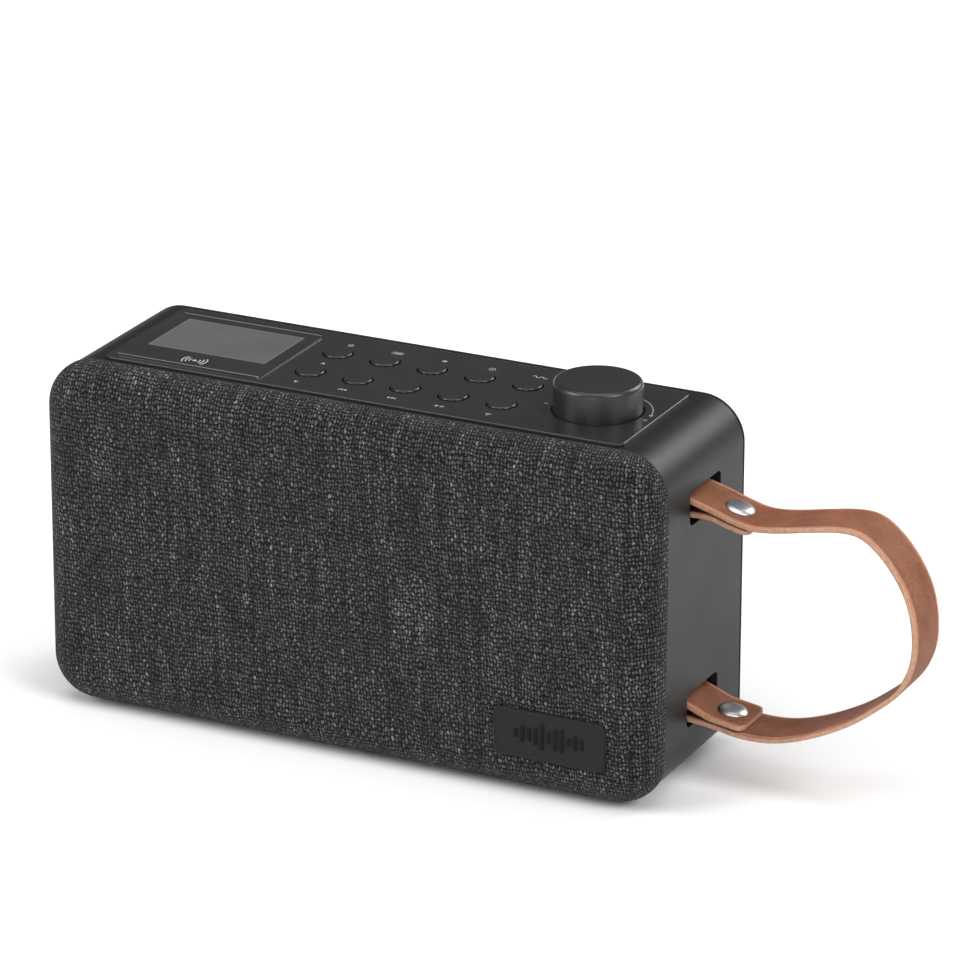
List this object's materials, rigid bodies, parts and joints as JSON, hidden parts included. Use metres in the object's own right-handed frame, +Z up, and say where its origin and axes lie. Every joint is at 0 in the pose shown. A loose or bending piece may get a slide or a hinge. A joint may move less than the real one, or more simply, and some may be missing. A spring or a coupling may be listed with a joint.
{
  "type": "portable radio",
  "caption": "Rounded portable digital radio: woven fabric front, black cabinet, top controls with display, round buttons and knob, leather side strap on riveted bars.",
  "frame": {"origin": "centre of the cabinet's width and depth, on the underside of the rubber base pad", "axes": "+Z up, -Y out of the fabric front, +X towards the strap side"},
  "size_m": [0.2958, 0.0858, 0.1301],
  "materials": {
    "cabinet_plastic": "fine matt moulding grain, near-black",
    "panel_plastic": "satin black",
    "rubber": "matt black",
    "woven_fabric": "charcoal melange plain weave",
    "window_acrylic": "smoked gloss",
    "lcd_glass": "grey, unlit",
    "leather": "tan vegetable-tanned, fine grain, pale cut edges",
    "nickel": "bright nickel",
    "steel": "plain zinc-plated",
    "antenna_chrome": "polished",
    "magnet": "dark ferrite",
    "cone_paper": "coated paper",
    "circuit_board": "green solder mask",
    "battery_wrap": "blue shrink wrap"
  },
  "bodies": {
    "cabinet": {"cabinet_shell": "cabinet_plastic", "rear_cover": "cabinet_plastic", "cover_screw_1": "steel", "cover_screw_2": "steel", "cover_screw_3": "steel", "cover_screw_4": "steel", "front_baffle": "cabinet_plastic", "grille_fabric": "woven_fabric", "badge": "rubber", "base_pad": "rubber", "speaker_basket": "steel", "speaker_magnet": "magnet", "speaker_surround": "rubber", "top_panel": "panel_plastic", "display_window": "window_acrylic", "lcd_module": "lcd_glass", "key_board": "circuit_board", "encoder_body": "steel", "main_board": "circuit_board", "battery_pack": "battery_wrap", "usb_port": "steel", "aux_jack": "panel_plastic", "headphone_jack": "panel_plastic", "strap_bar_upper": "steel", "strap_bar_lower": "steel", "antenna_bracket": "panel_plastic"},
    "speaker_cone": {"speaker_cone": "cone_paper"},
    "volume_knob": {"volume_knob": "panel_plastic", "encoder_shaft": "steel"},
    "handle_strap": {"handle_strap": "leather", "rivet_upper": "nickel", "rivet_lower": "nickel"},
    "antenna_swivel": {"antenna_swivel": "antenna_chrome", "antenna_pin": "steel"},
    "antenna_tube": {"antenna_tube": "antenna_chrome"},
    "antenna_middle": {"antenna_middle": "antenna_chrome"},
    "antenna_tip": {"antenna_rod": "antenna_chrome", "antenna_tip": "antenna_chrome"},
    "button_station": {"button_station": "panel_plastic"},
    "button_previous": {"button_previous": "panel_plastic"},
    "button_next": {"button_next": "panel_plastic"},
    "button_play": {"button_play": "panel_plastic"},
    "button_pairing": {"button_pairing": "panel_plastic"},
    "button_power": {"button_power": "panel_plastic"},
    "button_menu": {"button_menu": "panel_plastic"},
    "button_preset": {"button_preset": "panel_plastic"},
    "button_info": {"button_info": "panel_plastic"},
    "button_band": {"button_band": "panel_plastic"}
  },
  "joints": [
    {"name": "button_station_press", "type": "slide", "parent": "cabinet", "child": "button_station", "axis": [0, 0, -1], "range_m": [0, 0.0006], "stiffness_N_per_m": 300},
    {"name": "button_previous_press", "type": "slide", "parent": "cabinet", "child": "button_previous", "axis": [0, 0, -1], "range_m": [0, 0.0006], "stiffness_N_per_m": 300},
    {"name": "button_next_press", "type": "slide", "parent": "cabinet", "child": "button_next", "axis": [0, 0, -1], "range_m": [0, 0.0006], "stiffness_N_per_m": 300},
    {"name": "button_play_press", "type": "slide", "parent": "cabinet", "child": "button_play", "axis": [0, 0, -1], "range_m": [0, 0.0006], "stiffness_N_per_m": 300},
    {"name": "button_pairing_press", "type": "slide", "parent": "cabinet", "child": "button_pairing", "axis": [0, 0, -1], "range_m": [0, 0.0006], "stiffness_N_per_m": 300},
    {"name": "button_power_press", "type": "slide", "parent": "cabinet", "child": "button_power", "axis": [0, 0, -1], "range_m": [0, 0.0006], "stiffness_N_per_m": 300},
    {"name": "button_menu_press", "type": "slide", "parent": "cabinet", "child": "button_menu", "axis": [0, 0, -1], "range_m": [0, 0.0006], "stiffness_N_per_m": 300},
    {"name": "button_preset_press", "type": "slide", "parent": "cabinet", "child": "button_preset", "axis": [0, 0, -1], "range_m": [0, 0.0006], "stiffness_N_per_m": 300},
    {"name": "button_info_press", "type": "slide", "parent": "cabinet", "child": "button_info", "axis": [0, 0, -1], "range_m": [0, 0.0006], "stiffness_N_per_m": 300},
    {"name": "button_band_press", "type": "slide", "parent": "cabinet", "child": "button_band", "axis": [0, 0, -1], "range_m": [0, 0.0006], "stiffness_N_per_m": 300},
    {"name": "volume_turn", "type": "hinge", "parent": "cabinet", "child": "volume_knob", "pos_m": [0.0727, 0.0026, 0.1197], "axis": [0, 0, 1], "continuous": true},
    {"name": "cone_stroke", "type": "slide", "parent": "cabinet", "child": "speaker_cone", "axis": [0, -1, 0], "range_m": [-0.001, 0.001], "stiffness_N_per_m": 1500},
    {"name": "strap_slide", "type": "slide", "parent": "cabinet", "child": "handle_strap", "axis": [0, 1, 0], "range_m": [-0.0013, 0.0013]},
    {"name": "antenna_swivel_turn", "type": "hinge", "parent": "cabinet", "child": "antenna_swivel", "pos_m": [0.082, 0.04245, 0.102], "axis": [1, 0, 0], "range_deg": [0, 90]},
    {"name": "antenna_tilt", "type": "hinge", "parent": "antenna_swivel", "child": "antenna_tube", "pos_m": [0.082, 0.04245, 0.102], "axis": [0, 0, -1], "range_deg": [0, 90]},
    {"name": "antenna_middle_slide", "type": "slide", "parent": "antenna_tube", "child": "antenna_middle", "axis": [-1, 0, 0], "range_m": [0, 0.125]},
    {"name": "antenna_tip_slide", "type": "slide", "parent": "antenna_middle", "child": "antenna_tip", "axis": [-1, 0, 0], "range_m": [0, 0.125]}
  ]
}
